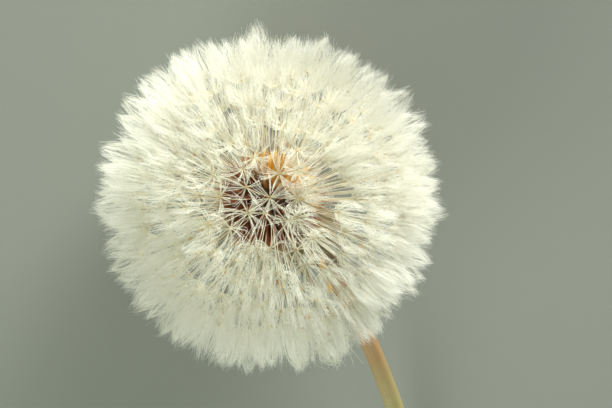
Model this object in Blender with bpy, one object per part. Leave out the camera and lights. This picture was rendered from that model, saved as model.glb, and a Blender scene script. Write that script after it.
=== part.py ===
"""A dandelion seed head, picked with its hollow stem and laid on a flat surface.

The head is a ball of seeds standing on a small domed receptacle. Each seed is one body: a
spindle-shaped achene, its thin beak and a cup of silky hairs, the pappus. Two whorls of dry
bracts are bent back under the receptacle, round the top of the stem. One seed points straight
down, so the ball rests on the rim of its pappus, and the stem bends down to lie along the
surface at its cut end.

Lengths are in metres. The surface is z = 0, and the origin is the middle of the footprint.
"""

import math

import bmesh
import bpy
from mathutils import Vector

MM = 0.001

# Head, measured from the centre of the ball of seeds.
CROWN_TILT = math.radians(33.0)  # how far the crown looks above the horizontal
DOME_RADIUS = 2.9 * MM
TOUCH_GAP = 0.3 * MM
ACHENE_LENGTH = 3.4 * MM
ACHENE_RADIUS = 0.5 * MM
BEAK_RADIUS = 0.16 * MM
PAPPUS_ROOT = 16.4 * MM  # where the hairs leave the beak
RIM_DISTANCE = 20.0 * MM  # along the seed, to the plane of the pappus rim
RIM_RADIUS = 4.8 * MM
RIM_WALL = 0.3 * MM
PAPPUS_LOBES = 6
LOBE_DEPTH = 0.84  # radius between two lobes, as a share of the rim's

# Seeds stand in rings about the crown, one ring step apart, and the last ring holds the seed
# that points straight down.
RING_COUNTS = (1, 6, 10, 11, 9)
LAST_RING_ANGLE = math.pi / 2 + CROWN_TILT
RING_STEP = LAST_RING_ANGLE / (len(RING_COUNTS) - 1)

# Bracts: outlines as (distance from the stem's axis, height along the crown, width).
INNER_BRACTS = 13
INNER_BRACT_OUTLINE = (
    (2.1, -2.75, 0.72),
    (2.9, -3.3, 1.1),
    (3.6, -4.4, 1.45),
    (4.1, -6.6, 1.7),
    (4.5, -9.5, 1.6),
    (5.0, -12.5, 1.05),
    (5.4, -15.0, 0.3),
)
OUTER_BRACTS = 8
OUTER_BRACT_OUTLINE = (
    (1.75, -3.55, 0.95),
    (2.3, -4.2, 1.35),
    (2.7, -5.4, 1.6),
    (2.9, -7.5, 1.3),
    (3.0, -10.0, 0.3),
)
BRACT_THICKNESS = 0.3 * MM
STRAP_CORNERS = ((-1, -1), (1, -1), (1, 1), (-1, 1))  # (side, face) round a strap's section

# Stem.
NECK_BOTTOM = 3.6 * MM  # the receptacle ends this far below the head's centre
STEM_TOP_RADIUS = 1.0 * MM
STEM_END_RADIUS = 1.35 * MM
STEM_WALL = 0.45 * MM
STEM_REACH = 80.0 * MM  # from the head's centre, along the stem, to the cut end
STEM_BEND = math.radians(30.0)  # how far it swings sideways in all
STEM_STATIONS = 27
STEM_SIDES = 12
BORE_STOP = 1  # the bore ends this many stations below the top
PATH_STEP = 0.05 * MM

HEAD_HEIGHT = RIM_DISTANCE  # the lowest pappus stands on its rim


def clear_scene():
    for leftover in list(bpy.data.objects):
        bpy.data.objects.remove(leftover, do_unlink=True)


def make_material(name, colour, roughness):
    material = bpy.data.materials.new(name)
    material.use_nodes = True
    shader = material.node_tree.nodes["Principled BSDF"]
    shader.inputs["Base Color"].default_value = (*colour, 1.0)
    shader.inputs["Roughness"].default_value = roughness
    shader.inputs["Metallic"].default_value = 0.0
    return material


def add_object(name, mesh, parent=None):
    part = bpy.data.objects.new(name, mesh)
    bpy.context.scene.collection.objects.link(part)
    part.parent = parent
    return part


def finish_mesh(name, bm, material, smooth_angle=40.0):
    """Closes the seams of bm, faces it outwards and turns it into a mesh."""
    bmesh.ops.remove_doubles(bm, verts=bm.verts, dist=0.001 * MM)
    bmesh.ops.recalc_face_normals(bm, faces=bm.faces)
    mesh = bpy.data.meshes.new(name)
    bm.to_mesh(mesh)
    bm.free()
    mesh.materials.append(material)
    mesh.shade_smooth()
    mesh.set_sharp_from_angle(angle=math.radians(smooth_angle))
    return mesh


def spun_profile(profile, sides):
    """A bmesh of the (radius, height) points turned about Z."""
    bm = bmesh.new()
    line = [bm.verts.new((radius, 0.0, height)) for radius, height in profile]
    edges = [bm.edges.new(pair) for pair in zip(line, line[1:])]
    bmesh.ops.spin(
        bm,
        geom=[*line, *edges],
        cent=(0.0, 0.0, 0.0),
        axis=(0.0, 0.0, 1.0),
        angle=math.tau,
        steps=sides,
        use_merge=True,
    )
    return bm


def seed_mesh(material):
    """One seed along +Z, with the head's centre at its origin."""
    base = DOME_RADIUS + TOUCH_GAP
    shoulder = base + 0.72 * ACHENE_LENGTH
    cup = RIM_DISTANCE - PAPPUS_ROOT
    profile = (
        (0.0, base),
        (0.5 * ACHENE_RADIUS, base + 0.04 * ACHENE_LENGTH),
        (ACHENE_RADIUS, base + 0.45 * ACHENE_LENGTH),
        (0.8 * ACHENE_RADIUS, shoulder),
        (BEAK_RADIUS, base + ACHENE_LENGTH),
        (BEAK_RADIUS, PAPPUS_ROOT),
        (0.62 * RIM_RADIUS, PAPPUS_ROOT + 0.42 * cup),
        (RIM_RADIUS, RIM_DISTANCE),
        (RIM_RADIUS - RIM_WALL, RIM_DISTANCE),
        (0.56 * RIM_RADIUS, PAPPUS_ROOT + 0.5 * cup),
        (0.0, PAPPUS_ROOT + 0.13 * cup),
    )
    sides = 2 * PAPPUS_LOBES
    bm = spun_profile(profile, sides)
    half_side = math.pi / sides
    for vert in bm.verts:
        turn = math.atan2(vert.co.y, vert.co.x) % (4 * half_side)
        between_lobes = abs(turn - 2 * half_side) < half_side
        if between_lobes and vert.co.z > PAPPUS_ROOT + 0.3 * cup:
            vert.co.x *= LOBE_DEPTH
            vert.co.y *= LOBE_DEPTH
    return finish_mesh("seed", bm, material)


def add_seeds(head, mesh):
    number = 0
    for ring, count in enumerate(RING_COUNTS):
        for place in range(count):
            number += 1
            seed = add_object(f"seed_{number:02d}", mesh, head)
            azimuth = math.pi + math.tau * place / count
            seed.rotation_euler = (0.0, ring * RING_STEP, azimuth)


def receptacle_mesh(material):
    """The dome that holds the seeds, with its neck down to the stem."""
    dome_end = math.radians(126.0)
    dome_steps = 8
    profile = [
        (
            DOME_RADIUS * math.sin(dome_end * step / dome_steps),
            DOME_RADIUS * math.cos(dome_end * step / dome_steps),
        )
        for step in range(dome_steps + 1)
    ]
    profile += [
        (1.55 * MM, -2.45 * MM),
        (1.25 * MM, -3.0 * MM),
        (STEM_TOP_RADIUS, -NECK_BOTTOM),
        (0.0, -NECK_BOTTOM),
    ]
    return finish_mesh("receptacle", spun_profile(profile, 18), material)


def lofted(loops):
    """A closed bmesh whose skin joins the loops of places in order, both ends filled."""
    bm = bmesh.new()
    loop = [bm.verts.new(place) for place in loops[0]]
    edges = [bm.edges.new(pair) for pair in zip(loop, loop[1:] + loop[:1])]
    bmesh.ops.edgeloop_fill(bm, edges=edges)
    for places in loops[1:]:
        grown = set(bmesh.ops.extrude_edge_only(bm, edges=edges)["geom"])
        loop = [
            next(edge.other_vert(vert) for edge in vert.link_edges if edge.other_vert(vert) in grown)
            for vert in loop
        ]
        for vert, place in zip(loop, places):
            vert.co = place
        edges = [bm.edges.get(pair) for pair in zip(loop, loop[1:] + loop[:1])]
    bmesh.ops.edgeloop_fill(bm, edges=edges)
    return bm


def bract_mesh(name, outline, material):
    """A tapering strap in the XZ plane, following the outline from its base to its tip."""
    points = [Vector((out * MM, 0.0, up * MM)) for out, up, _ in outline]
    sections = []
    for index, (_, _, width) in enumerate(outline):
        before = points[max(index - 1, 0)]
        after = points[min(index + 1, len(points) - 1)]
        across = Vector((0.0, 0.5 * width * MM, 0.0))
        through = (after - before).cross(across).normalized() * (0.5 * BRACT_THICKNESS)
        sections.append(
            [points[index] + side * across + face * through for side, face in STRAP_CORNERS]
        )
    return finish_mesh(name, lofted(sections), material, smooth_angle=60.0)


def add_bracts(head, name, count, mesh):
    for number in range(count):
        bract = add_object(f"{name}_{number + 1:02d}", mesh, head)
        bract.rotation_euler = (0.0, 0.0, math.tau * number / count)


def stem_path():
    """(point, direction, radius) at even steps from the receptacle to the cut end.

    The stem leaves along the crown's axis and levels out just as it reaches the surface,
    and it swings to -Y on the way.
    """
    drop = HEAD_HEIGHT - STEM_END_RADIUS
    levels_at = drop * CROWN_TILT / (1.0 - math.cos(CROWN_TILT))
    start = NECK_BOTTOM + TOUCH_GAP
    spacing = (STEM_REACH - start) / (STEM_STATIONS - 1)
    point = Vector((0.0, 0.0, HEAD_HEIGHT))
    travelled = 0.0
    stations = []
    while len(stations) < STEM_STATIONS:
        share = min(1.0, travelled / levels_at)
        pitch = CROWN_TILT * (1.0 - share)
        heading = STEM_BEND * math.sin(0.5 * math.pi * share)
        flat = Vector((math.cos(heading), -math.sin(heading), 0.0))
        direction = flat * math.cos(pitch) - Vector((0.0, 0.0, math.sin(pitch)))
        if travelled >= start + len(stations) * spacing - 0.5 * PATH_STEP:
            radius = STEM_TOP_RADIUS + (STEM_END_RADIUS - STEM_TOP_RADIUS) * share
            stations.append((point.copy(), direction, radius))
        point += direction * PATH_STEP
        travelled += PATH_STEP
    return stations


def circle_across(point, direction, radius):
    """Places round a circle centred on point and square to direction."""
    side = Vector((0.0, 0.0, 1.0)).cross(direction).normalized()
    over = direction.cross(side)
    turns = [math.tau * number / STEM_SIDES for number in range(STEM_SIDES)]
    return [point + radius * (side * math.cos(turn) + over * math.sin(turn)) for turn in turns]


def stem_mesh(material):
    """A sleeve: down the outside to the cut end, in over the wall and back up the bore."""
    stations = stem_path()
    outside = [circle_across(*station) for station in stations]
    bore = [(point, along, radius - STEM_WALL) for point, along, radius in stations[BORE_STOP:]]
    inside = [circle_across(*station) for station in reversed(bore)]
    return finish_mesh("stem", lofted(outside + inside), material)


def centre_footprint(frame):
    """Moves the whole object so that the origin is in the middle of its footprint."""
    bpy.context.view_layer.update()
    corners = [
        part.matrix_world @ vert.co
        for part in bpy.data.objects
        if part.type == "MESH"
        for vert in part.data.vertices
    ]
    for axis in (0, 1):
        values = [corner[axis] for corner in corners]
        frame.location[axis] = -0.5 * (min(values) + max(values))


def main():
    clear_scene()
    straw = make_material("stem_straw", (0.42, 0.24, 0.10), 0.55)
    pith = make_material("receptacle_pith", (0.55, 0.45, 0.30), 0.8)
    husk = make_material("bract_husk", (0.24, 0.20, 0.09), 0.7)
    silk = make_material("seed_silk", (0.86, 0.85, 0.74), 0.5)

    frame = add_object("frame", None)
    head = add_object("head", None, frame)
    head.location = (0.0, 0.0, HEAD_HEIGHT)
    head.rotation_euler = (0.0, CROWN_TILT - math.pi / 2, 0.0)

    add_object("stem", stem_mesh(straw), frame)
    add_object("receptacle", receptacle_mesh(pith), head)
    add_seeds(head, seed_mesh(silk))
    inner = bract_mesh("inner_bract", INNER_BRACT_OUTLINE, husk)
    outer = bract_mesh("outer_bract", OUTER_BRACT_OUTLINE, husk)
    add_bracts(head, "inner_bract", INNER_BRACTS, inner)
    add_bracts(head, "outer_bract", OUTER_BRACTS, outer)
    centre_footprint(frame)


main()
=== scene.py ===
"""The looks of a dandelion seed head that lies on a surface with a piece of its stem.

Laid out as an add-on: the sizes and colours are properties of the scene, each group of pieces
is made by an operator, and a panel in the 3D view's sidebar lists them. Lengths are in metres,
and shapes are written in millimetres where that reads better.
"""

import math
import random

import bmesh
import bpy
from bpy.props import FloatProperty, FloatVectorProperty, IntProperty, PointerProperty
from mathutils import Matrix, Vector, kdtree, noise


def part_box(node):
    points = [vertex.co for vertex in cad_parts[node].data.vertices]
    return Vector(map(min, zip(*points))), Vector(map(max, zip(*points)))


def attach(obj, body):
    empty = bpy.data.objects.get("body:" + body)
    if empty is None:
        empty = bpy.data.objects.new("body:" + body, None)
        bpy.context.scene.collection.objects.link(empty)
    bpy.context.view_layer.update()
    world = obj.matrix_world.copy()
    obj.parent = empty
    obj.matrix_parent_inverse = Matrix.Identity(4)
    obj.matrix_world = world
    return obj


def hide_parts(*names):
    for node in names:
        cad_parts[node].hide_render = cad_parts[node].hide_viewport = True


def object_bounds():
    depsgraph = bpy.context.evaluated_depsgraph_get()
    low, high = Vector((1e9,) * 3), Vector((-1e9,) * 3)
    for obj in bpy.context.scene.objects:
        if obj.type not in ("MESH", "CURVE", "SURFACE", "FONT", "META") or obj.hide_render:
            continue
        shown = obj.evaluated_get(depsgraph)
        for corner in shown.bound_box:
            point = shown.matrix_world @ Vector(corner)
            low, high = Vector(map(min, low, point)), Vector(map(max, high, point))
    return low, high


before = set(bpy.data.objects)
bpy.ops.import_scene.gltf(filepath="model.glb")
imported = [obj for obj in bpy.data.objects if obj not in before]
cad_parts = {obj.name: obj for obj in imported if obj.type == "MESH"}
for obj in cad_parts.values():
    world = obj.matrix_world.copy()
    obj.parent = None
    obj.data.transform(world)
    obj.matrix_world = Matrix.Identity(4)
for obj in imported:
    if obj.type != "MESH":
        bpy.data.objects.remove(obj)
CAD_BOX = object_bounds()

bl_info = {
    "name": "Dandelion Seed Head",
    "version": (1, 0, 0),
    "blender": (4, 5, 0),
    "location": "View3D > Sidebar > Dandelion",
    "description": "Makes the seeds, receptacle, bracts and stem of a ripe dandelion head",
    "category": "Add Mesh",
}

MM = 0.001

# Chance falls the same way in each run.
GROWTH_SEED = 7
PATTERN_SEED = 100
BRACT_SEED = 21
NOISE_SEED = 3

# Head, measured from the centre of the ball of seeds, in millimetres.
CROWN_TILT = math.radians(33.0)
DOME_RADIUS = 2.9
SEED_BASE = 3.2  # the CAD seeds start here
BEAK_TOP = 16.4
LOOSE_DEPTH = (15.5, 17.0)  # how far out the loose seeds hang
PIT_RADIUS = 0.055  # on a dome of radius 1
PIT_DEPTH = 0.1
PITS_END = 150.0  # degrees from the crown
NECK_EDGE = 164.5
NECK_BOTTOM = 3.6
NECK = (  # degrees from the crown, and the receptacle's radius there
    (0.0, DOME_RADIUS),
    (147.7, DOME_RADIUS),
    (157.4, 3.25),
    (NECK_EDGE, 3.735),
    (180.0, NECK_BOTTOM),
)
SEED_SPREAD = math.radians(148.0)  # the last seeds stand this far round from the crown
GOLDEN_TURN = math.pi * (3.0 - math.sqrt(5.0))
FRONT = Vector((-0.26, 0.0, 0.97)).normalized()  # the stars of hairs are widest open here
BRUSHED_SIDE = Vector((0.15, 0.40, 0.90)).normalized()  # something brushed against the fluff
LOOSE_SIDE = Vector((0.55, -0.17, 0.81)).normalized()  # shaken seeds hang in the fluff
LOOSE_WITHIN = 0.93  # the least cosine between that side and where they hang
SUNLIT_SIDE = Vector((-0.15, 0.97, 0.06)).normalized()  # painted sunlight: the achenes facing this way, toward the key lamp, are painted amber

# Seeds
HAIR_STEPS = 20  # a hair's bend is worked out in these
HAIR_FOOT = (0.15, 0.05)  # out from the beak's line and up from its top, in millimetres
HAIRS_IN_LOCK = 5
LOCK_STRAY = 0.7  # of the way from one lock to the next
ACHENE_SIDES = 8
BEAK_SIDES = 4
KNOB_SIDES = 6
BEAK_SLOT, KNOB_SLOT, SILK_SLOT = 1, 2, 3  # after the achene's

# A colour attribute of every piece but the bracts. A seed's holds its tone, the way along its
# achene, beak or hair, and how much painted sunlight its achene gets. The stem's holds the way
# along it and the place round it, and the receptacle's holds how deep it is pitted.
GROWTH = "growth"

# The map that lays out the seeds' colours: a column a seed, and these bands across it.
BAKE_MAP = "OFBake"
ACHENE_BAND = (0.02, 0.42)
BEAK_BAND = (0.46, 0.58)
KNOB_BAND = (0.61, 0.67)
HAIR_BAND = (0.70, 0.98)
COLUMN_SHARE = 0.85

# Stem and bracts, in millimetres. The stem runs as the CAD stem does.
STEM_TOP = 3.9  # the way along the stem from the head's centre
STEM_REACH = 80.0
STEM_RADII = (1.0, 1.35)
STEM_WALL = 0.45
STEM_BEND = math.radians(30.0)
STEM_STATIONS = 90
STEM_SIDES = 44
SKIN_SLOT, BORE_SLOT = 0, 1
BORE_START = 4  # the bore is closed at this station
TAIL_START = 0.97  # of the stem's length: from here on its rings lean over to the cut
LONGEST_BRACT = 15.0

SEED_NODES = sorted(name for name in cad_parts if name.startswith("seed_"))
LOWEST_SEED = "seed_29"  # the one that points straight down


def head_centre():
    """Where the seeds meet, above the base of the lowest one."""
    low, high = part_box(LOWEST_SEED)
    middle = (low + high) / 2
    return Vector((middle.x, middle.y, high.z + SEED_BASE * MM))


HEAD_CENTRE = head_centre()
HEAD = Matrix.Translation(HEAD_CENTRE) @ Matrix.Rotation(CROWN_TILT - math.pi / 2, 4, "Y")
MILLIMETRES = Matrix.Scale(MM, 4)


# Materials


class Value:
    """A socket that takes part in Python arithmetic by adding Math nodes."""

    def __init__(self, finish, socket):
        self.finish = finish
        self.socket = socket

    def math(self, operation, *operands):
        inputs = dict(enumerate(operands))
        return self.finish.node("ShaderNodeMath", {"operation": operation}, inputs)

    def __add__(self, other):
        return self.math("ADD", self, other)

    def __sub__(self, other):
        return self.math("SUBTRACT", self, other)

    def __rsub__(self, other):
        return self.math("SUBTRACT", other, self)

    def __mul__(self, other):
        return self.math("MULTIPLY", self, other)

    __radd__ = __add__
    __rmul__ = __mul__

    def __abs__(self):
        return self.math("ABSOLUTE", self)

    def sine(self):
        return self.math("SINE", self)


class Finish:
    """One material. Its node method adds every node to it."""

    def __init__(self, name, roughness, constants=None):
        self.material = bpy.data.materials.new(name)
        self.material.use_nodes = True
        self.tree = self.material.node_tree
        self.shader = self.tree.nodes["Principled BSDF"]
        self.shader.inputs["Roughness"].default_value = roughness
        for socket, value in (constants or {}).items():
            self.shader.inputs[socket].default_value = value

    def feed(self, socket, value):
        """Links a Value to the socket, or sets it to a number or colour."""
        if isinstance(value, Value):
            self.tree.links.new(value.socket, socket)
        elif socket.type == "RGBA":
            socket.default_value = (*value, 1.0)
        else:
            socket.default_value = value

    def node(self, kind, settings=None, inputs=None, output=0):
        """Adds a node, with its settings first, and returns one of its outputs."""
        made = self.tree.nodes.new(kind)
        for name, value in (settings or {}).items():
            if name == "stops":
                self.set_stops(made.color_ramp, value)
            else:
                setattr(made, name, value)
        for key, value in (inputs or {}).items():
            self.feed(made.inputs[key], value)
        return Value(self, made.outputs[output])

    def set_stops(self, ramp, stops):
        while len(ramp.elements) < len(stops):
            ramp.elements.new(1.0)
        for element, (place, colour) in zip(ramp.elements, stops):
            element.position = place
            element.color = (*colour, 1.0)

    def attribute(self, name):
        """A mesh's colour attribute, whole and as its three channels."""
        made = self.node("ShaderNodeAttribute", {"attribute_name": name})
        split = self.node("ShaderNodeSeparateColor", inputs={0: made})
        return made, [Value(self, out) for out in split.socket.node.outputs]

    def place(self):
        """Object coordinates."""
        return self.node("ShaderNodeTexCoord", output=3)

    def speckle(self, vector, scale, detail=2.0):
        inputs = {"Vector": vector, "Scale": scale, "Detail": detail}
        return self.node("ShaderNodeTexNoise", inputs=inputs)

    def stretch(self, vector, scale):
        return self.node("ShaderNodeMapping", inputs={"Vector": vector, "Scale": scale})

    def ramp(self, factor, stops):
        return self.node("ShaderNodeValToRGB", {"stops": stops}, {0: factor})

    def blend(self, factor, first, second, way="MIX"):
        settings = {"data_type": "RGBA", "blend_type": way}
        return self.node("ShaderNodeMix", settings, {0: factor, 6: first, 7: second}, output=2)

    def colour(self, value):
        self.feed(self.shader.inputs["Base Color"], value)

    def roughness(self, value):
        self.feed(self.shader.inputs["Roughness"], value)

    def bump(self, height, strength, distance):
        inputs = {"Height": height, "Strength": strength, "Distance": distance}
        self.feed(self.shader.inputs["Normal"], self.node("ShaderNodeBump", inputs=inputs))

    def let_light_through(self, share, colour):
        """Mixes in light that crosses the thin piece and leaves its far side."""
        through = self.node("ShaderNodeBsdfTranslucent", inputs={"Color": colour})
        front = Value(self, self.shader.outputs[0])
        mixed = self.node("ShaderNodeMixShader", inputs={0: share, 1: front, 2: through})
        self.feed(self.tree.nodes["Material Output"].inputs["Surface"], mixed)


def silk_finish(settings):
    """Pappus hairs: cream at the root, white along the hair, each seed a little different."""
    finish = Finish("pappus silk", 0.42)
    _, (tone, along, _) = finish.attribute(GROWTH)
    stops = [(0.0, settings.hair_root), (0.25, settings.hair_colour), (1.0, settings.hair_tip)]
    body = finish.ramp(along, stops)
    finish.colour(finish.blend(tone * 0.35, body, settings.hair_shade, "MULTIPLY"))
    finish.let_light_through(0.55, settings.hair_glow)
    return finish.material


def beak_finish(settings):
    """The beak: brown at the achene, partly its own colour and partly painted shade, and pale straw
    along the rest.
    """
    finish = Finish("beak straw", 0.4)
    _, (tone, along, _) = finish.attribute(GROWTH)
    # The brown at the beak's foot is partly painted shade.
    body = finish.ramp(along, [(0.0, settings.beak_brown_and_shade), (0.25, settings.beak_high)])
    finish.colour(finish.blend(tone * 0.4, body, settings.hair_shade, "MULTIPLY"))
    finish.let_light_through(along * 0.3, settings.beak_high)
    return finish.material


def knob_finish(settings):
    """The small tan knob that the hairs grow from, paler on some seeds."""
    finish = Finish("pappus knob", 0.6)
    _, (tone, _, _) = finish.attribute(GROWTH)
    finish.colour(finish.blend(tone * 0.5, settings.knob_colour, settings.hair_root))
    return finish.material


def achene_finish(settings):
    """The achene: maroon with painted shade toward its foot, and painted sunlight in amber on one
    side.
    """
    finish = Finish("achene husk", 0.55)
    _, (tone, along, painted_sun) = finish.attribute(GROWTH)
    grain = finish.speckle(finish.place(), 9000.0, 3.0)
    height = along + (grain - 0.5) * 0.25
    # Painted shade: the shaded copy darkens from the achene's middle to its foot, deep in the head.
    shaded = finish.ramp(height, [(0.0, settings.achene_shade_and_dark_tone), (1.0, settings.achene_colour)])
    # The painted sunlit copy of the achene: maroon at the foot, amber from a third of the way up.
    sunlit_copy = finish.ramp(height, [(0.0, settings.achene_colour), (0.35, settings.achene_sunlit)])
    # Some seeds are also darker at random, toward the same colour.
    body = finish.blend(tone * 0.7, shaded, settings.achene_shade_and_dark_tone)
    # Painted sunlight turns the seeds that face the key lamp from the shaded copy to the sunlit
    # one.
    finish.colour(finish.blend(painted_sun, body, sunlit_copy))
    finish.roughness(grain * 0.3 + 0.4)
    finish.bump(grain, 0.6, 0.00004)
    # Light comes through the achene only as far as it is painted sunlit.
    finish.let_light_through(painted_sun * 0.25, settings.achene_sunlit)
    return finish.material


def pith_finish(settings):
    """The receptacle: dry tan pith, dark in its pits."""
    finish = Finish("receptacle pith", 0.8)
    _, (depth, _, _) = finish.attribute(GROWTH)
    grain = finish.speckle(finish.place(), 5000.0, 4.0)
    body = finish.blend(depth, settings.pith_colour, settings.pith_pit)
    finish.colour(finish.blend(grain * 0.5, body, settings.pith_pit, "MULTIPLY"))
    finish.roughness(grain * 0.2 + 0.7)
    finish.bump(grain, 0.5, 0.00005)
    return finish.material


def husk_finish(settings, name, back):
    """A bract: dry olive-brown along its back, with long veins and a pale papery margin."""
    finish = Finish(name, 0.7)
    uv = finish.node("ShaderNodeUVMap", {"uv_map": "leaf"})
    split = finish.node("ShaderNodeSeparateXYZ", inputs={0: uv})
    across, along = (Value(finish, out) for out in list(split.socket.node.outputs)[:2])
    edge = abs(across - 0.5) * 2.0
    wander = finish.speckle(finish.place(), 900.0, 3.0)
    veins = (across * 44.0 + wander * 1.5).sine() * 0.5 + 0.5
    body = finish.ramp(
        along + (wander - 0.5) * 0.5,
        [(0.0, settings.bract_base), (0.55, back), (1.0, settings.bract_tip)],
    )
    veined = finish.blend(veins * 0.45, body, settings.bract_vein, "MULTIPLY")
    papery = finish.node(
        "ShaderNodeMapRange",
        {"interpolation_type": "SMOOTHSTEP"},
        {"Value": edge, "From Min": 0.7, "From Max": 0.98},
    )
    finish.colour(finish.blend(papery * 0.7, veined, settings.bract_margin))
    finish.roughness(wander * 0.3 + 0.5)
    finish.bump(veins + wander * 0.6, 0.5, 0.00008)
    finish.let_light_through(0.15, settings.bract_margin)
    return finish.material


def stalk_finish(settings):
    """The stem: waxy, ribbed, tan-orange under the head and green further down."""
    finish = Finish("stem skin", 0.42, {"Coat Weight": 0.12, "Coat Roughness": 0.35})
    whole, (along, _, _) = finish.attribute(GROWTH)
    streak = finish.speckle(finish.stretch(whole, (5.0, 9.0, 9.0)), 3.0, 4.0)
    mottle = finish.speckle(finish.place(), 700.0, 3.0)
    blotch = finish.speckle(finish.place(), 220.0, 2.0)
    body = finish.ramp(
        along + (streak - 0.5) * 0.12,
        [
            (0.0, settings.stem_neck),
            (0.3, settings.stem_upper),
            (0.48, settings.stem_middle),
            (0.8, settings.stem_lower),
        ],
    )
    flush = finish.node(
        "ShaderNodeMapRange",
        {"interpolation_type": "SMOOTHSTEP"},
        {"Value": blotch - along * 0.4, "From Min": 0.4, "From Max": 0.6},
    )
    reddened = finish.blend(flush * 0.6, body, settings.stem_neck)
    streaked = finish.blend(streak * 0.5, reddened, settings.stem_streak, "MULTIPLY")
    finish.colour(finish.blend(mottle * 0.25, streaked, settings.stem_bloom))
    finish.roughness(mottle * 0.3 + 0.3)
    finish.bump(streak + mottle * 0.3, 0.5, 0.0001)
    return finish.material


def bore_finish(settings):
    """The inside of the stem and its cut wall: pale, moist and fibrous."""
    finish = Finish("stem bore", 0.6)
    whole, _ = finish.attribute(GROWTH)
    fibres = finish.speckle(finish.stretch(whole, (12.0, 20.0, 20.0)), 4.0, 3.0)
    finish.colour(finish.blend(fibres, settings.bore_colour, settings.stem_bloom))
    finish.bump(fibres, 0.4, 0.00008)
    return finish.material


def floor_finish(settings):
    """The studio floor: matt, and a little cloudy."""
    finish = Finish("studio floor", 0.9, {"Specular IOR Level": 0.2})
    cloud = finish.speckle(finish.place(), 1.5, 1.0)
    colours = (settings.floor_colour, settings.floor_cloud)
    finish.colour(finish.blend(cloud * 0.12, *colours, "MULTIPLY"))
    return finish.material


# Mesh helpers


def smooth_step(value):
    value = min(1.0, max(0.0, value))
    return value * value * (3.0 - 2.0 * value)


def turned_to(direction, side, start, span):
    """0 to 1 as the cosine between a direction and a side rises over the span from start."""
    return smooth_step((direction.dot(side) - start) / span)


def mesh_from(name, bm, materials, smooth_angle=50.0):
    """Ends the bmesh in a mesh that is shaded smooth but for its sharp edges."""
    bm.normal_update()
    mesh = bpy.data.meshes.new(name)
    bm.to_mesh(mesh)
    bm.free()
    for material in materials:
        mesh.materials.append(material)
    mesh.shade_smooth()
    mesh.set_sharp_from_angle(angle=math.radians(smooth_angle))
    return mesh


def add_piece(name, mesh, slot, *nodes):
    """Links a piece that rides on the root and stands for the CAD nodes."""
    piece = bpy.data.objects.new(name, mesh)
    bpy.context.scene.collection.objects.link(piece)
    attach(piece, "root")
    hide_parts(*nodes)


def spun(bm, profile, sides):
    """Turns the (radius, height) points about Z and returns the new vertices."""
    line = [bm.verts.new((radius, 0.0, height)) for radius, height in profile]
    edges = [bm.edges.new(pair) for pair in zip(line, line[1:])]
    before = set(bm.verts) - set(line)
    bmesh.ops.spin(
        bm,
        geom=[*line, *edges],
        cent=(0.0, 0.0, 0.0),
        axis=(0.0, 0.0, 1.0),
        angle=math.tau,
        steps=sides,
        use_merge=True,
    )
    made = [vert for vert in bm.verts if vert not in before]
    poles = [vert for vert in made if vert.co.xy.length < 1e-6]
    bmesh.ops.remove_doubles(bm, verts=poles, dist=1e-6)
    return [vert for vert in bm.verts if vert not in before]


# Seeds


class Seed:
    """One seed's growth: where it points, how its pappus opens and how it was disturbed."""

    def __init__(self, rng, direction):
        self.direction = direction
        self.twist = rng.uniform(0.0, math.tau)
        self.tone = rng.random()
        # How much painted sunlight the achene gets, by how far the seed faces the key lamp.
        self.painted_sun = turned_to(direction, SUNLIT_SIDE, 0.27, 0.35)
        tousle = turned_to(direction, BRUSHED_SIDE, 0.84, 0.14)
        spread = turned_to(direction, FRONT, 0.25, 0.3)
        fresh = turned_to(direction, FRONT, 0.8, 0.15)
        # Wildness is 0 for a pappus open in a star and 1 for one closed to a brush.
        wild = 0.7 + 0.3 * rng.random() - 0.45 * spread * (1.0 + rng.random())
        wild = max(0.2, wild) * (1.0 - fresh) + 0.15 * fresh * rng.random()
        self.wildness = min(0.99, max(wild, 0.55 * tousle))
        self.length = min(1.035, rng.gauss(1.0, 0.04)) - 0.04 * tousle * rng.random()
        self.openness = rng.gauss(1.0, 0.06) * (1.0 - 0.2 * tousle * rng.random())
        self.openness *= 0.78 + 0.22 * spread
        spill = 0.035 + 0.03 * tousle
        lean = Vector([rng.gauss(0.0, spill) for _ in range(3)])
        swirl = noise.noise_vector(direction * 3.0) * (0.05 + 0.06 * tousle)
        self.aim = (direction + lean + swirl).normalized()
        self.foot = (direction - self.aim) * DOME_RADIUS * MM

    def shake_loose(self, rng):
        """Lets the seed hang in the fluff, where it lies across the others."""
        downhill = LOOSE_SIDE - FRONT
        stray = Vector((rng.gauss(0.0, 0.2), rng.gauss(0.0, 0.2), 0.0))
        across = (downhill - self.direction * downhill.dot(self.direction)).normalized()
        self.aim = (across + stray - self.direction * 0.2).normalized()
        middle = DOME_RADIUS + 1.7  # of the achene, which stays at its depth in the fluff
        self.foot = (self.direction * rng.uniform(*LOOSE_DEPTH) - self.aim * middle) * MM
        # A loose seed's achene is painted wholly sunlit.
        self.painted_sun = 1.0
        self.wildness = 0.99


def pappus_strand():
    """A straight hair of unit length along Z, three-sided and tapering, in a mesh."""
    bm = bmesh.new()
    unrolled = bm.loops.layers.uv.new(BAKE_MAP)
    bmesh.ops.create_cone(
        bm,
        cap_ends=False,
        calc_uvs=True,
        segments=3,
        radius1=1.0,
        radius2=0.3,
        depth=1.0,
        matrix=Matrix.Translation((0.0, 0.0, 0.5)),
    )
    for height in (0.15, 0.4, 0.7):
        geom = [*bm.verts, *bm.edges, *bm.faces]
        bmesh.ops.bisect_plane(
            bm, geom=geom, dist=1e-6, plane_co=(0.0, 0.0, height), plane_no=(0.0, 0.0, 1.0)
        )
    for face in bm.faces:
        for loop in face.loops:
            loop[unrolled].uv.y = along_band(HAIR_BAND, loop.vert.co.z)
    return mesh_from("strand", bm, [])


def along_band(band, share):
    return band[0] + (band[1] - band[0]) * share


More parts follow.
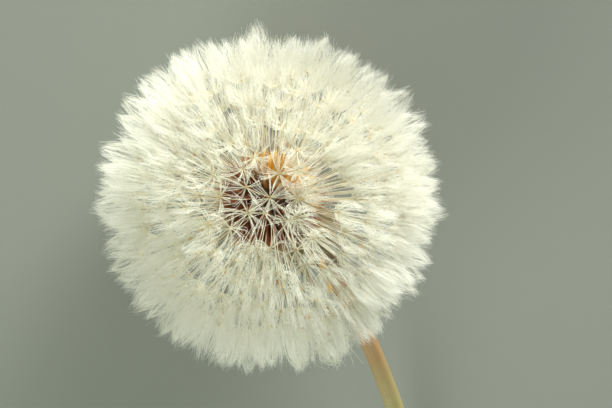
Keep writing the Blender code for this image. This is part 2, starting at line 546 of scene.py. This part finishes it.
def unroll(faces, unrolled, growth, band):
    """Lays faces that stand round Z out in a band of the bake map, by turn and by growth."""
    for face in faces:
        middle = face.calc_center_median()
        facing = math.atan2(middle.y, middle.x)
        for loop in face.loops:
            turn = math.atan2(loop.vert.co.y, loop.vert.co.x) - facing
            if loop.vert.co.xy.length < 1e-4:
                turn = 0.0
            turn = (turn + math.pi) % math.tau - math.pi
            across = 0.5 + COLUMN_SHARE * (facing + turn) / math.tau
            loop[unrolled].uv = (across, along_band(band, loop.vert[growth][1]))


def hair_path(length, start, finish):
    """(outward, upward, angle from the beak) at even steps along a hair that bends upright."""
    out = up = 0.0
    path = []
    for step in range(HAIR_STEPS + 1):
        angle = finish + (start - finish) * (1.0 - step / HAIR_STEPS) ** 2
        path.append((out, up, angle))
        out += math.sin(angle) * length / HAIR_STEPS
        up += math.cos(angle) * length / HAIR_STEPS
    return path


def hair_count(settings, wildness):
    """Fewest in an open star, most in a half-open pappus and fewer again in a closed brush."""
    fullness = min(1.0, 0.36 + 2.0 * wildness, 1.35 - 0.7 * wildness)
    return round(settings.hairs * fullness)


def grow_hairs(bm, growth, rng, settings, strand, wildness):
    """Bends copies of the strand into the brush of hairs that leaves the top of the beak."""
    hairs = hair_count(settings, wildness)
    locks = hairs // HAIRS_IN_LOCK
    for number in range(hairs):
        first = len(bm.verts)
        bm.from_mesh(strand)
        bm.verts.ensure_lookup_table()
        lock = number % locks
        bunch = lock * GOLDEN_TURN % LOCK_STRAY - LOCK_STRAY / 2
        turn = math.tau * (lock + bunch + rng.gauss(0.0, 0.16)) / locks
        outward = Vector((math.cos(turn), math.sin(turn), 0.0))
        sideways = Vector((-outward.y, outward.x, 0.0))
        length = settings.hair_length / MM * rng.gauss(1.0, 0.07)
        start = math.radians(rng.gauss(settings.hair_start, 8.0))
        closing = settings.hair_finish * wildness**1.5
        finish = math.radians(rng.gauss(closing, 6.0))
        if rng.random() < settings.splayed * wildness:
            finish += math.radians(rng.uniform(20.0, 60.0))
        path = hair_path(length, start, finish)
        sway = rng.gauss(0.0, 0.025 + 0.03 * wildness)
        thick = settings.hair_thickness / MM / 2 * rng.uniform(0.85, 1.15)
        for vert in bm.verts[first:]:
            along = vert.co.z
            out, up, angle = path[round(along * HAIR_STEPS)]
            square = Vector((0.0, 0.0, 1.0)) * math.sin(angle) - outward * math.cos(angle)
            centre = outward * (HAIR_FOOT[0] + out) + sideways * (sway * length * along * along)
            centre.z = BEAK_TOP + HAIR_FOOT[1] + up
            vert.co = centre + (square * vert.co.x + sideways * vert.co.y) * thick
            vert[growth] = (0.0, along, 0.0, 1.0)


def faces_of(verts):
    return {face for vert in verts for face in vert.link_faces}


def grow_body(bm, growth, unrolled, rng, settings):
    """The achene, its beak and the knob at its top."""
    wide = settings.achene_width / MM / 2
    foot = DOME_RADIUS + 0.02
    top = foot + settings.achene_length / MM
    length = top - foot
    profile = [
        (0.0, foot),
        (0.35 * wide, foot + 0.03 * length),
        (0.8 * wide, foot + 0.3 * length),
        (wide, foot + 0.56 * length),
        (0.86 * wide, foot + 0.74 * length),
        (0.45 * wide, foot + 0.88 * length),
        (0.07, top),
    ]
    achene = spun(bm, profile, ACHENE_SIDES)
    for vert in achene:
        side = round(math.atan2(vert.co.y, vert.co.x) / (math.tau / ACHENE_SIDES))
        rib = 1.0 - 0.16 * (side % 2)
        vert[growth] = (0.0, (vert.co.z - foot) / length, 0.0, 1.0)
        vert.co.x *= rib
        vert.co.y *= rib * 0.78
    unroll(faces_of(achene), unrolled, growth, ACHENE_BAND)
    stalk = [(0.07, top - 0.05), (0.055, top + 3.0), (0.05, top + 6.5), (0.05, BEAK_TOP)]
    beak = spun(bm, stalk, BEAK_SIDES)
    for vert in beak:
        vert[growth] = (0.0, max(0.0, (vert.co.z - top) / (BEAK_TOP - top)), 0.0, 1.0)
    unroll(faces_of(beak), unrolled, growth, BEAK_BAND)
    bend = rng.uniform(-0.35, 0.35)
    for vert in beak:
        vert.co.x += bend * math.sin(math.pi * vert[growth][1])
    for face in faces_of(beak):
        face.material_index = BEAK_SLOT
    knob = [(0.0, -0.2), (0.25, 0.0), (0.2, 0.15), (0.0, 0.2)]
    knob = spun(bm, [(radius, BEAK_TOP + height) for radius, height in knob], KNOB_SIDES)
    for vert in knob:
        vert[growth] = (0.0, 0.5 + 2.0 * (vert.co.z - BEAK_TOP), 0.0, 1.0)
    unroll(faces_of(knob), unrolled, growth, KNOB_BAND)
    for face in faces_of(knob):
        face.material_index = KNOB_SLOT


def seed_pattern(number, settings, strand):
    """The mesh of one seed in millimetres, standing along Z with the head's centre at 0."""
    rng = random.Random(PATTERN_SEED + number)
    bm = bmesh.new()
    growth = bm.verts.layers.float_color.new(GROWTH)
    unrolled = bm.loops.layers.uv.new(BAKE_MAP)
    grow_hairs(bm, growth, rng, settings, strand, number / (settings.patterns - 1))
    for face in bm.faces:
        face.material_index = SILK_SLOT
    grow_body(bm, growth, unrolled, rng, settings)
    bmesh.ops.recalc_face_normals(bm, faces=bm.faces)
    return mesh_from(f"seed pattern {number}", bm, [])


def plant_seeds(settings):
    """All the seeds of the head in the spiral order in which they grow, then the loose ones."""
    noise.seed_set(NOISE_SEED)
    rng = random.Random(GROWTH_SEED)
    seeds = []
    for number in range(settings.seed_count):
        share = (number + 0.5) / settings.seed_count
        up = 1.0 - share * (1.0 - math.cos(SEED_SPREAD))
        out = math.sqrt(1.0 - up * up)
        turn = number * GOLDEN_TURN
        local = Vector((out * math.cos(turn), out * math.sin(turn), up))
        seeds.append(Seed(rng, (HEAD.to_3x3() @ local).normalized()))
    directions = [seed.direction for seed in seeds]
    near = [direction for direction in directions if direction.dot(LOOSE_SIDE) > LOOSE_WITHIN]
    for direction in rng.sample(near, settings.loose_seeds):
        seeds.append(Seed(rng, direction))
        seeds[-1].shake_loose(rng)
    return seeds


def seed_matrix(seed):
    """Stands a seed pattern where the seed grows, leaning a little in its socket."""
    turn = seed.aim.to_track_quat("Z", "Y").to_matrix() @ Matrix.Rotation(seed.twist, 3, "Z")
    scale = Matrix.Diagonal((seed.openness, seed.openness, seed.length, 1.0))
    return Matrix.Translation(HEAD_CENTRE + seed.foot) @ turn.to_4x4() @ MILLIMETRES @ scale


def keep_off_floor(verts):
    """Bends what would reach below the surface, at height 0, so that it lies along it."""
    bend_below = 1.0 * MM
    rounding = 0.05 * MM * MM
    for vert in verts:
        if vert.co.z < bend_below:
            vert.co.z = 0.5 * (vert.co.z + math.sqrt(vert.co.z**2 + rounding))


def tuft_mesh(name, seeds, patterns, materials):
    """Joins seeds in one mesh. Each has its own column of the bake map."""
    bm = bmesh.new()
    growth = bm.verts.layers.float_color.new(GROWTH)
    unrolled = bm.loops.layers.uv.new(BAKE_MAP)
    for column, seed in enumerate(seeds):
        first_vert, first_face = len(bm.verts), len(bm.faces)
        bm.from_mesh(patterns[int(seed.wildness * len(patterns))])
        bm.verts.ensure_lookup_table()
        bm.faces.ensure_lookup_table()
        verts = bm.verts[first_vert:]
        bmesh.ops.transform(bm, matrix=seed_matrix(seed), verts=verts)
        for vert in verts:
            # Tone, the way along, and the painted sunlight.
            vert[growth] = (seed.tone, vert[growth][1], seed.painted_sun, 1.0)
        for face in bm.faces[first_face:]:
            for loop in face.loops:
                loop[unrolled].uv.x = (column + loop[unrolled].uv.x) / len(seeds)
    keep_off_floor(bm.verts)
    return mesh_from(name, bm, materials)


def nearest_nodes(seeds):
    """Shares the seeds out among the CAD seeds, each to the one it stands nearest to."""
    tree = kdtree.KDTree(len(SEED_NODES))
    for index, name in enumerate(SEED_NODES):
        places = [vert.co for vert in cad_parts[name].data.vertices]
        middle = sum(places, Vector()) / len(places)
        tree.insert((middle - HEAD_CENTRE).normalized(), index)
    tree.balance()
    shares = {name: [] for name in SEED_NODES}
    for seed in seeds:
        _, index, _ = tree.find(seed.direction)
        shares[SEED_NODES[index]].append(seed)
    return shares


# Receptacle, bracts and stem


def neck_radius(polar):
    """Distance from the head's centre to the receptacle's surface, in millimetres."""
    for (start, near), (end, far) in zip(NECK, NECK[1:]):
        if polar <= end:
            return near + (far - near) * (polar - start) / (end - start)
    return NECK[-1][1]


def receptacle_mesh(seeds, material):
    """A dome with a pit under each seed, flat where it stands on the stem."""
    tree = kdtree.KDTree(len(seeds))
    for index, seed in enumerate(seeds):
        tree.insert(seed.direction, index)
    tree.balance()
    bm = bmesh.new()
    growth = bm.verts.layers.float_color.new(GROWTH)
    bmesh.ops.create_icosphere(bm, subdivisions=5, radius=1.0)
    turn = HEAD.to_3x3()
    for vert in bm.verts:
        polar = math.degrees(vert.co.angle(Vector((0.0, 0.0, 1.0))))
        gap = tree.find((turn @ vert.co).normalized())[2]
        pit = math.exp(-((gap / PIT_RADIUS) ** 2)) if polar < PITS_END else 0.0
        vert[growth] = (pit, 0.0, 0.0, 1.0)
        if polar > NECK_EDGE:
            vert.co *= NECK_BOTTOM / -vert.co.z
        else:
            vert.co *= neck_radius(polar) - PIT_DEPTH * pit
    bmesh.ops.transform(bm, matrix=HEAD @ MILLIMETRES, verts=bm.verts)
    return mesh_from("receptacle", bm, [material])


def curve_point(points, share):
    """A point on the smooth curve through the points, share of the way from first to last."""
    span = share * (len(points) - 1)
    index = min(int(span), len(points) - 2)
    t = span - index
    before = points[max(index - 1, 0)]
    after = points[min(index + 2, len(points) - 1)]
    start, end = points[index], points[index + 1]
    return 0.5 * (
        2.0 * start
        + (end - before) * t
        + (2.0 * before - 5.0 * start + 4.0 * end - after) * t**2
        + (3.0 * start - before - 3.0 * end + after) * t**3
    )


def bract_mesh(name, outline, width, turn, rng, material):
    """A thin leaf bent back along the outline, hollowed across and pointed at its tip."""
    bm = bmesh.new()
    bm.loops.layers.uv.new("leaf")
    bmesh.ops.create_grid(bm, x_segments=6, y_segments=16, size=1.0, calc_uvs=True)
    flare = rng.uniform(-0.5, 0.6)
    curl = rng.uniform(-0.5, 0.9)
    skew = rng.uniform(-0.5, 0.5)
    bent = [(out + flare * (up / LONGEST_BRACT) ** 2, up) for out, up in outline]
    points = [Vector((out, 0.0, up)) for out, up in bent]
    nudge = 0.02
    for vert in bm.verts:
        across, along = vert.co.x, 0.5 * (vert.co.y + 1.0)
        place = curve_point(points, along)
        before = curve_point(points, max(0.0, along - nudge))
        ahead = curve_point(points, min(1.0, along + nudge)) - before
        out = Vector((-ahead.z, 0.0, ahead.x)).normalized()
        body = (0.42 + 1.9 * along * (1.0 - along)) * (1.0 - along**5) ** 0.6
        half = 0.5 * width * max(0.06, body)
        frill = 0.05 * noise.noise(Vector((across * 2.0, along * 9.0, turn * 5.0)))
        hollow = (0.16 * width) * across * across * body
        place += Vector((0.0, across * half + skew * along * along, 0.0))
        place -= out * (hollow + frill - curl * 0.5 * along**4)
        vert.co = place
    bmesh.ops.recalc_face_normals(bm, faces=bm.faces)
    bmesh.ops.solidify(bm, geom=bm.faces, thickness=0.09)
    spin = Matrix.Rotation(turn, 4, "Z")
    bmesh.ops.transform(bm, matrix=HEAD @ MILLIMETRES @ spin, verts=bm.verts)
    bmesh.ops.recalc_face_normals(bm, faces=bm.faces)
    return mesh_from(name, bm, [material], smooth_angle=60.0)


def stem_path(stations):
    """(point, direction, share) along the stem, which levels out as it reaches the surface."""
    drop = HEAD_CENTRE.z / MM - STEM_RADII[1]
    levels_at = drop * CROWN_TILT / (1.0 - math.cos(CROWN_TILT))
    spacing = (STEM_REACH - STEM_TOP) / (stations - 1)
    step = 0.02
    point = HEAD_CENTRE.copy()
    travelled = 0.0
    path = []
    while len(path) < stations:
        share = min(1.0, travelled / levels_at)
        pitch = CROWN_TILT * (1.0 - share)
        heading = STEM_BEND * math.sin(0.5 * math.pi * share)
        flat = Vector((math.cos(heading), -math.sin(heading), 0.0))
        direction = flat * math.cos(pitch) - Vector((0.0, 0.0, math.sin(pitch)))
        if travelled >= STEM_TOP + len(path) * spacing - 0.5 * step:
            path.append((point.copy(), direction, share))
        point += direction * step * MM
        travelled += step
    return path


def stem_ring(station, inner, tail):
    """Places round the stem, ribbed outside, and how far east and north each one stands.

    tail rises from 0 to 1 where the ring leans over to follow the slanting cut.
    """
    point, direction, share = station
    side = Vector((0.0, 0.0, 1.0)).cross(direction).normalized()
    over = direction.cross(side)
    radius = STEM_RADII[0] + (STEM_RADII[1] - STEM_RADII[0]) * share
    ring = []
    for number in range(STEM_SIDES):
        turn = math.tau * number / STEM_SIDES
        rib = 0.022 * math.cos(11.0 * turn + 0.8 * share)
        rib += 0.03 * math.cos(3.0 * turn + 5.0 * share)
        reach = radius - STEM_WALL if inner else radius + rib - 0.02
        around = side * math.cos(turn) + over * math.sin(turn)
        cut = direction * (0.35 * math.cos(turn - 0.6) * tail)
        place = point + (around * reach + cut) * MM
        ring.append((place, (0.5 + 0.5 * math.cos(turn), 0.5 + 0.5 * math.sin(turn))))
    return ring


def stem_mesh(materials):
    """A sleeve: down the outside to the cut end, over the wall and back up the bore."""
    path = stem_path(STEM_STATIONS)
    outside = [(False, index) for index in range(STEM_STATIONS)]
    bore = [(True, index) for index in range(STEM_STATIONS - 1, BORE_START - 1, -1)]
    bm = bmesh.new()
    growth = bm.verts.layers.float_color.new(GROWTH)
    loop = []
    edges = []
    for inner, index in outside + bore:
        length = index / (STEM_STATIONS - 1)
        tail = smooth_step((length - TAIL_START) / (1.0 - TAIL_START))
        ring = stem_ring(path[index], inner, tail)
        if not loop:
            loop = [bm.verts.new(place) for place, _ in ring]
            edges = [bm.edges.new(pair) for pair in zip(loop, loop[1:] + loop[:1])]
            bmesh.ops.edgeloop_fill(bm, edges=edges)
        else:
            grown = set(bmesh.ops.extrude_edge_only(bm, edges=edges)["geom"])
            loop = [
                next(e.other_vert(v) for e in v.link_edges if e.other_vert(v) in grown)
                for v in loop
            ]
            edges = [bm.edges.get(pair) for pair in zip(loop, loop[1:] + loop[:1])]
            for face in grown:
                if isinstance(face, bmesh.types.BMFace):
                    face.material_index = BORE_SLOT if inner else SKIN_SLOT
        for vert, (place, (east, north)) in zip(loop, ring):
            vert.co = place
            vert[growth] = (length, east, north, 1.0)
    bmesh.ops.edgeloop_fill(bm, edges=edges)
    bmesh.ops.recalc_face_normals(bm, faces=bm.faces)
    return mesh_from("stem", bm, materials)


# Properties


def length_property(name, description, default):
    return FloatProperty(name=name, description=description, default=default, unit="LENGTH")


def level_property(name, description, default, unit="NONE"):
    return FloatProperty(name=name, description=description, default=default, unit=unit)


def colour_property(name, description, default):
    return FloatVectorProperty(
        name=name,
        description=description,
        default=default,
        subtype="COLOR",
        size=3,
        min=0.0,
        max=1.0,
    )


class SeedSettings(bpy.types.PropertyGroup):
    seed_count: IntProperty(name="Seeds", description="Seeds on the head", default=400)
    loose_seeds: IntProperty(name="Loose", description="Seeds shaken loose", default=7)
    hairs: IntProperty(name="Hairs", description="Hairs in a full pappus", default=110)
    patterns: IntProperty(name="Patterns", description="Different seed shapes", default=14)
    hair_length: length_property("Hair length", "From knob to tip", 5.2 * MM)
    hair_thickness: length_property("Hair thickness", "Across a hair at its root", 0.055 * MM)
    hair_start: level_property("Hair start", "Degrees from the beak at the root", 82.0)
    hair_finish: level_property("Hair finish", "Degrees from the beak at a closed tip", -52.0)
    splayed: level_property("Splayed", "Share of stray hairs in a wild seed", 0.1)
    achene_length: length_property("Achene length", "Foot to beak", 3.4 * MM)
    achene_width: length_property("Achene width", "Across its middle", 0.66 * MM)
    hair_colour: colour_property("Hair", "Along the hair", (0.955, 0.955, 0.91))
    hair_root: colour_property("Hair root", "At the knob", (0.92, 0.86, 0.66))
    hair_tip: colour_property("Hair tip", "At the free end", (0.96, 0.965, 0.945))
    hair_shade: colour_property("Hair shade", "Multiplied over some seeds", (0.95, 0.93, 0.85))
    hair_glow: colour_property("Hair glow", "What comes through a hair", (0.945, 0.938, 0.876))
    # Partly the beak's own brown and partly painted shade where it leaves the achene, deep in the
    # head.
    beak_brown_and_shade: colour_property("Beak foot", "Where it leaves the achene", (0.34, 0.15, 0.06))
    beak_high: colour_property("Beak", "Along the beak", (0.86, 0.79, 0.58))
    knob_colour: colour_property("Knob", "Where the hairs grow from", (0.45, 0.28, 0.095))
    achene_colour: colour_property("Achene", "Middle of the achene", (0.38, 0.095, 0.03))
    # Painted shade at the achene's foot, and the darkest tone that some seeds take at random.
    achene_shade_and_dark_tone: colour_property("Achene shade and dark tone", "Near the receptacle", (0.07, 0.018, 0.01))
    # Painted sunlight: the amber of achenes on the side that faces the key lamp.
    achene_sunlit: colour_property("Painted sunlit achene", "Painted sunlight on the side facing the key lamp", (0.87, 0.575, 0.14))


class GreenSettings(bpy.types.PropertyGroup):
    pith_colour: colour_property("Pith", "Receptacle", (0.34, 0.22, 0.12))
    pith_pit: colour_property("Pits", "Where achenes stand", (0.12, 0.06, 0.03))
    bract_base: colour_property("Bract base", "At the receptacle", (0.30, 0.27, 0.12))
    bract_back: colour_property("Bract", "Along an inner bract", (0.25, 0.20, 0.10))
    outer_back: colour_property("Outer bract", "Along an outer bract", (0.30, 0.22, 0.12))
    bract_tip: colour_property("Bract tip", "Dry end", (0.20, 0.11, 0.06))
    bract_vein: colour_property("Bract vein", "Multiplied along veins", (0.55, 0.50, 0.40))
    bract_margin: colour_property("Bract margin", "Papery edge", (0.62, 0.55, 0.38))
    stem_neck: colour_property("Stem neck", "Under the head", (0.34, 0.13, 0.045))
    stem_upper: colour_property("Stem upper", "Near the head", (0.33, 0.14, 0.045))
    stem_middle: colour_property("Stem middle", "Half way down", (0.29, 0.26, 0.09))
    stem_lower: colour_property("Stem lower", "At the cut end", (0.27, 0.36, 0.13))
    stem_streak: colour_property("Stem streak", "Multiplied along ribs", (0.62, 0.50, 0.38))
    stem_bloom: colour_property("Stem bloom", "Pale waxy patches", (0.52, 0.47, 0.30))
    bore_colour: colour_property("Bore", "Inside the stem", (0.60, 0.62, 0.42))


class StageSettings(bpy.types.PropertyGroup):
    floor_colour: colour_property("Floor", "Studio floor", (0.218, 0.23, 0.2))
    floor_cloud: colour_property("Clouds", "Multiplied in patches", (0.9, 0.92, 0.88))
    sky_colour: colour_property("Surround", "Light from all round", (0.76, 0.84, 0.74))
    sky_strength: level_property("Surround strength", "Its level", 0.63)
    key_power: level_property("Key", "Main light", 1.16, "POWER")
    fill_power: level_property("Fill", "Low light from the shaded side", 0.54, "POWER")
    rim_power: level_property("Rim", "Low light from behind", 0.12, "POWER")


# Operators


class DANDELION_OT_seeds(bpy.types.Operator):
    """Makes every seed of the head, a tuft for each CAD seed"""

    bl_idname = "dandelion.seeds"
    bl_label = "Seeds"

    def execute(self, context):
        settings = context.scene.dandelion_seeds
        strand = pappus_strand()
        numbers = range(settings.patterns)
        patterns = [seed_pattern(number, settings, strand) for number in numbers]
        materials = [
            achene_finish(settings),
            beak_finish(settings),
            knob_finish(settings),
            silk_finish(settings),
        ]
        for node, seeds in nearest_nodes(plant_seeds(settings)).items():
            name = node.replace("seed", "seed_tuft")
            add_piece(name, tuft_mesh(name, seeds, patterns, materials), "silk", node)
        return {"FINISHED"}


class DANDELION_OT_receptacle(bpy.types.Operator):
    """Makes the pitted dome that the seeds stand on"""

    bl_idname = "dandelion.receptacle"
    bl_label = "Receptacle"

    def execute(self, context):
        material = pith_finish(context.scene.dandelion_green)
        mesh = receptacle_mesh(plant_seeds(context.scene.dandelion_seeds), material)
        add_piece("pitted_receptacle", mesh, "pith", "receptacle")
        return {"FINISHED"}


class DANDELION_OT_bracts(bpy.types.Operator):
    """Makes the two whorls of bracts that are bent back round the stem"""

    bl_idname = "dandelion.bracts"
    bl_label = "Bracts"

    whorls = (  # nodes, width and outline (outwards and up), in millimetres
        (
            "inner_bract",
            1.9,
            [(2.0, -2.7), (3.3, -3.5), (3.9, -5.6), (4.2, -8.4), (4.6, -11.6), (5.3, -15.0)],
        ),
        (
            "outer_bract",
            1.7,
            [(1.7, -3.5), (2.5, -4.3), (2.8, -5.8), (2.9, -7.8), (3.1, -10.0)],
        ),
    )

    def execute(self, context):
        settings = context.scene.dandelion_green
        backs = {"inner_bract": settings.bract_back, "outer_bract": settings.outer_back}
        rng = random.Random(BRACT_SEED)
        for whorl, width, outline in self.whorls:
            material = husk_finish(settings, whorl.replace("_", " "), backs[whorl])
            nodes = sorted(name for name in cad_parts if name.startswith(whorl))
            for number, node in enumerate(nodes):
                turn = math.tau * number / len(nodes)
                name = node.replace("bract", "husk_bract")
                mesh = bract_mesh(name, outline, width, turn, rng, material)
                add_piece(name, mesh, "husk", node)
        return {"FINISHED"}


class DANDELION_OT_stem(bpy.types.Operator):
    """Makes the hollow stem, from the receptacle to its cut end"""

    bl_idname = "dandelion.stem"
    bl_label = "Stem"

    def execute(self, context):
        settings = context.scene.dandelion_green
        mesh = stem_mesh([stalk_finish(settings), bore_finish(settings)])
        add_piece("hollow_stem", mesh, "stalk", "stem")
        return {"FINISHED"}


def aim_matrix(place, target, roll_up):
    """A camera or lamp at place that looks at target, with roll_up near the top of its view."""
    back = (place - target).normalized()
    right = roll_up.cross(back).normalized()
    up = back.cross(right)
    turn = Matrix((right, up, back)).transposed().to_4x4()
    return Matrix.Translation(place) @ turn


class DANDELION_OT_stage(bpy.types.Operator):
    """Makes the floor, the soft light and the camera that looks down on the head"""

    bl_idname = "dandelion.stage"
    bl_label = "Stage"

    camera_height = math.radians(75.0)  # above the horizon, on the crown's side
    camera_distance = 0.25
    stem_slope = math.radians(-43.5)  # how the stem's start runs in the picture
    shift_right = 4.42 * MM  # the head's centre is this far left of the view's
    shift_down = 0.49 * MM
    lens = 120.0
    lamp_spread = math.radians(60.0)
    lamp_up = Vector((0.3, 0.2, 1.0))  # no lamp points this way
    lamps = (  # size, distance, way from the head (right, up and back) and colour
        ("key", 0.35, 0.6, (0.4, 0.8, 0.3), (1.0, 0.995, 0.97)),
        ("fill", 0.5, 0.6, (-0.6, -0.5, 0.45), (0.94, 1.0, 0.92)),
        ("rim", 0.3, 0.5, (-0.35, 0.9, 0.22), (1.0, 0.98, 0.92)),
    )

    def execute(self, context):
        settings = context.scene.dandelion_stage
        back = Vector((-math.cos(self.camera_height), 0.0, math.sin(self.camera_height)))
        along_stem = Vector((math.sin(self.camera_height), 0.0, math.cos(self.camera_height)))
        beside_stem = Vector((0.0, 1.0, 0.0))
        slope = self.stem_slope
        right = along_stem * math.cos(slope) - beside_stem * math.sin(slope)
        up = along_stem * math.sin(slope) + beside_stem * math.cos(slope)
        target = HEAD_CENTRE + right * self.shift_right - up * self.shift_down
        self.add_floor(settings)
        self.add_surround(settings)
        self.add_camera(context, target, back, up)
        powers = {"key": settings.key_power, "fill": settings.fill_power, "rim": settings.rim_power}
        view = Matrix((right, up, back)).transposed()
        for name, size, distance, way, colour in self.lamps:
            place = HEAD_CENTRE + (view @ Vector(way)).normalized() * distance
            self.add_lamp(context, name, powers[name], size, place, colour)
        return {"FINISHED"}

    def add_floor(self, settings):
        bm = bmesh.new()
        bmesh.ops.create_circle(bm, cap_ends=True, segments=96, radius=3.0)
        mesh = mesh_from("floor", bm, [floor_finish(settings)])
        floor = bpy.data.objects.new("floor", mesh)
        bpy.context.scene.collection.objects.link(floor)
        floor.location.z = CAD_BOX[0].z

    def add_surround(self, settings):
        world = bpy.data.worlds.new("surround")
        world.use_nodes = True
        background = world.node_tree.nodes["Background"]
        background.inputs["Color"].default_value = (*settings.sky_colour, 1.0)
        background.inputs["Strength"].default_value = settings.sky_strength
        bpy.context.scene.world = world
        bpy.context.scene.view_settings.view_transform = "Standard"

    def add_lamp(self, context, name, power, size, place, colour):
        data = bpy.data.lights.new(name, "AREA")
        data.shape = "DISK"
        data.size = size
        data.spread = self.lamp_spread
        data.energy = power
        data.color = colour
        lamp = bpy.data.objects.new(name, data)
        context.scene.collection.objects.link(lamp)
        lamp.matrix_world = aim_matrix(place, HEAD_CENTRE, self.lamp_up)

    def add_camera(self, context, target, back, up):
        data = bpy.data.cameras.new("camera")
        data.lens = self.lens
        data.sensor_width = 36.0
        data.clip_start = 0.01
        data.clip_end = 20.0
        camera = bpy.data.objects.new("camera", data)
        context.scene.collection.objects.link(camera)
        camera.matrix_world = aim_matrix(target + back * self.camera_distance, target, up)
        context.scene.camera = camera


class DANDELION_PT_panel(bpy.types.Panel):
    """Lists the sizes, the colours and the operators"""

    bl_label = "Dandelion Seed Head"
    bl_space_type = "VIEW_3D"
    bl_region_type = "UI"
    bl_category = "Dandelion"

    def draw(self, context):
        for holder, group in GROUPS.items():
            box = self.layout.box()
            for name in group.__annotations__:
                box.prop(getattr(context.scene, holder), name)
        for operator in OPERATORS:
            self.layout.operator(operator.bl_idname)


GROUPS = {
    "dandelion_seeds": SeedSettings,
    "dandelion_green": GreenSettings,
    "dandelion_stage": StageSettings,
}
OPERATORS = (
    DANDELION_OT_stem,
    DANDELION_OT_receptacle,
    DANDELION_OT_bracts,
    DANDELION_OT_seeds,
    DANDELION_OT_stage,
)


def register():
    for name, group in GROUPS.items():
        bpy.utils.register_class(group)
        setattr(bpy.types.Scene, name, PointerProperty(type=group))
    for operator in OPERATORS:
        bpy.utils.register_class(operator)
    bpy.utils.register_class(DANDELION_PT_panel)


def unregister():
    bpy.utils.unregister_class(DANDELION_PT_panel)
    for operator in reversed(OPERATORS):
        bpy.utils.unregister_class(operator)
    for name, group in GROUPS.items():
        delattr(bpy.types.Scene, name)
        bpy.utils.unregister_class(group)


def main():
    register()
    bpy.ops.dandelion.stem()
    bpy.ops.dandelion.receptacle()
    bpy.ops.dandelion.bracts()
    bpy.ops.dandelion.seeds()
    bpy.ops.dandelion.stage()


if __name__ == "__main__":
    main()
